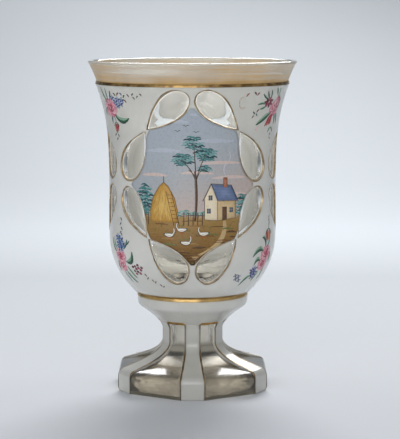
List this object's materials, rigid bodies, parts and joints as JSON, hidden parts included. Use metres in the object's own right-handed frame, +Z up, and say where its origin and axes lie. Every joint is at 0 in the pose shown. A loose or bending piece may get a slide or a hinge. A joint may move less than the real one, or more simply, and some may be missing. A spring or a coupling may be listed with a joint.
{
  "type": "cased glass tumbler",
  "caption": "Footed beaker of clear glass cased in white, cut with teardrop windows round medallions, with gilt lines, flower sprays and a six-ribbed foot.",
  "frame": {"origin": "middle of the foot's underside, on the table", "axes": "+Z up the axis to the lip, -Y towards the painted medallion, +X to the right of someone who looks at it"},
  "size_m": [0.089, 0.089, 0.14],
  "materials": {
    "clear_glass": "polished and cut clear glass",
    "white_glass": "glossy opaque white casing glass",
    "worn_gilding": "brushed-on gold, worn thin",
    "line_gold": "fired gold line, raised",
    "band_gold": "burnished gold band",
    "painted_enamel": "painted and fired enamel scene",
    "flower_enamel": "raised coloured enamel flowers"
  },
  "bodies": {
    "root": {"crystal_body": "clear_glass", "white_casing": "white_glass", "rim_gilding": "worn_gilding", "rim_gold_line": "line_gold", "collar_gold_band": "band_gold", "window_line_front_top_a": "line_gold", "window_line_front_top_b": "line_gold", "window_line_front_upper_a": "line_gold", "window_line_front_upper_b": "line_gold", "window_line_front_lower_a": "line_gold", "window_line_front_lower_b": "line_gold", "window_line_front_bottom_a": "line_gold", "window_line_front_bottom_b": "line_gold", "window_line_right_top_a": "line_gold", "window_line_right_top_b": "line_gold", "window_line_right_upper_a": "line_gold", "window_line_right_upper_b": "line_gold", "window_line_right_lower_a": "line_gold", "window_line_right_lower_b": "line_gold", "window_line_right_bottom_a": "line_gold", "window_line_right_bottom_b": "line_gold", "window_line_left_top_a": "line_gold", "window_line_left_top_b": "line_gold", "window_line_left_upper_a": "line_gold", "window_line_left_upper_b": "line_gold", "window_line_left_lower_a": "line_gold", "window_line_left_lower_b": "line_gold", "window_line_left_bottom_a": "line_gold", "window_line_left_bottom_b": "line_gold", "foot_panel_line_1": "line_gold", "foot_panel_line_2": "line_gold", "foot_panel_line_3": "line_gold", "foot_panel_line_4": "line_gold", "foot_panel_line_5": "line_gold", "foot_panel_line_6": "line_gold", "painted_scene": "painted_enamel", "flower_spray_right_upper": "flower_enamel", "flower_spray_right_lower": "flower_enamel", "flower_spray_back_upper": "flower_enamel", "flower_spray_back_lower": "flower_enamel", "flower_spray_left_upper": "flower_enamel", "flower_spray_left_lower": "flower_enamel"}
  },
  "joints": []
}
